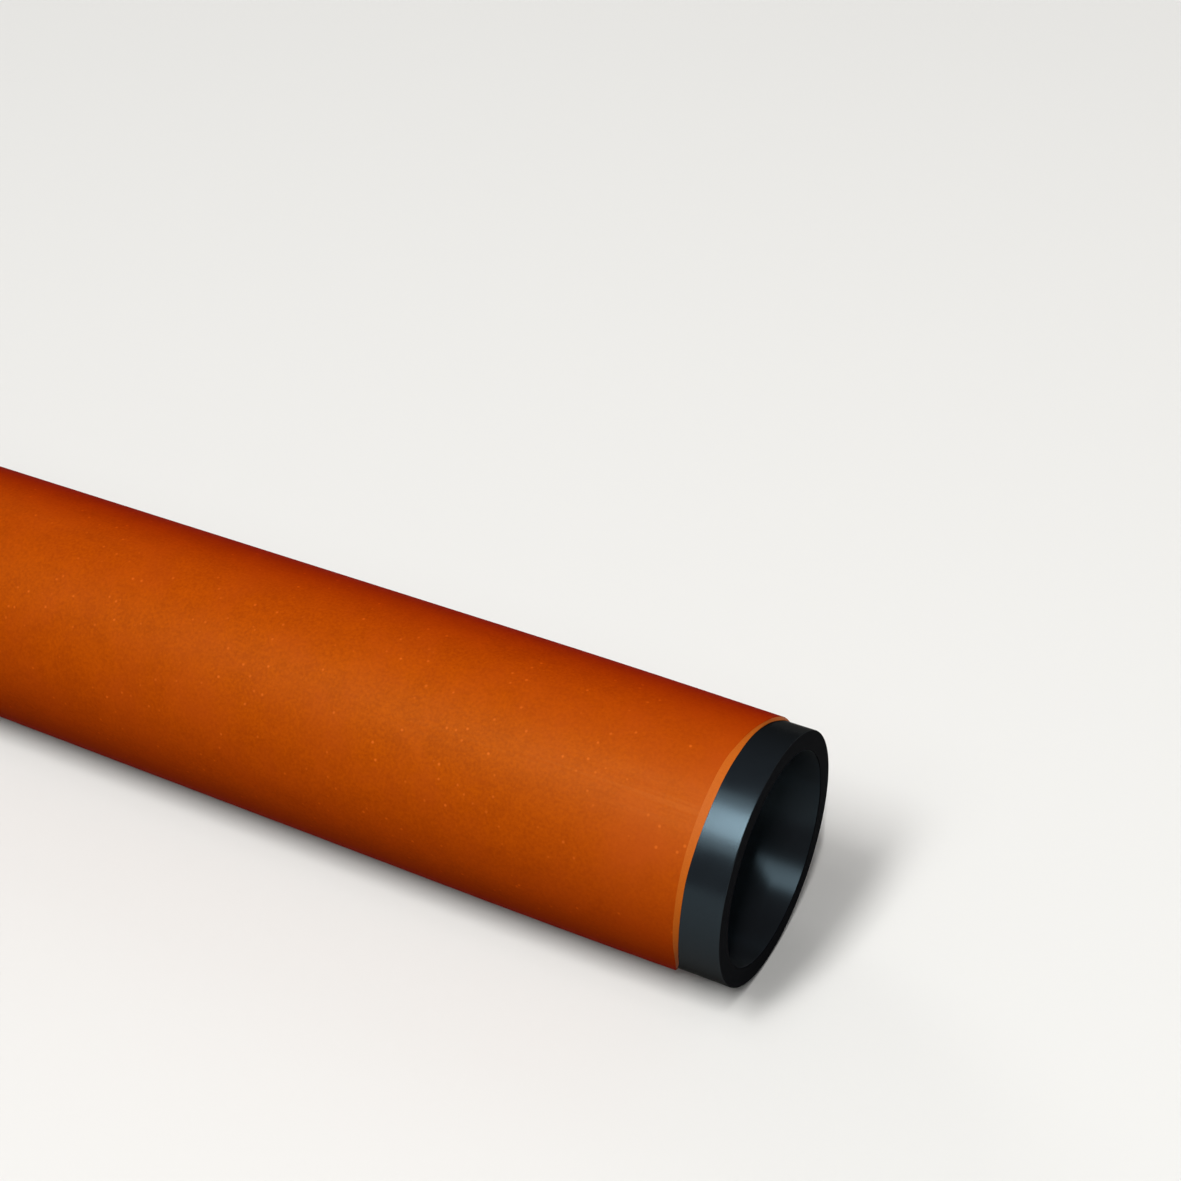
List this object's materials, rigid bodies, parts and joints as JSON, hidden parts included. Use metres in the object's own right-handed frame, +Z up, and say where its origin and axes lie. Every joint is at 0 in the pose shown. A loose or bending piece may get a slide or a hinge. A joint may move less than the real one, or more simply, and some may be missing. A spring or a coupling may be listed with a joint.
{
  "type": "jacketed polyethylene pipe",
  "caption": "Straight length of black polyethylene pressure pipe in a thin orange protective jacket, which is stripped back at the drawn-in end.",
  "frame": {"origin": "on the pipe's axis, in the face of the stripped end", "axes": "+X along the pipe's axis, out of the stripped end; +Z up; the pipe lies along -X on a floor one jacket radius below the axis"},
  "size_m": [6, 0.1634, 0.1634],
  "materials": {
    "black_polyethylene": "satin",
    "orange_polypropylene": "satin"
  },
  "bodies": {
    "root": {"core_pipe": "black_polyethylene", "protective_jacket": "orange_polypropylene"}
  },
  "joints": []
}
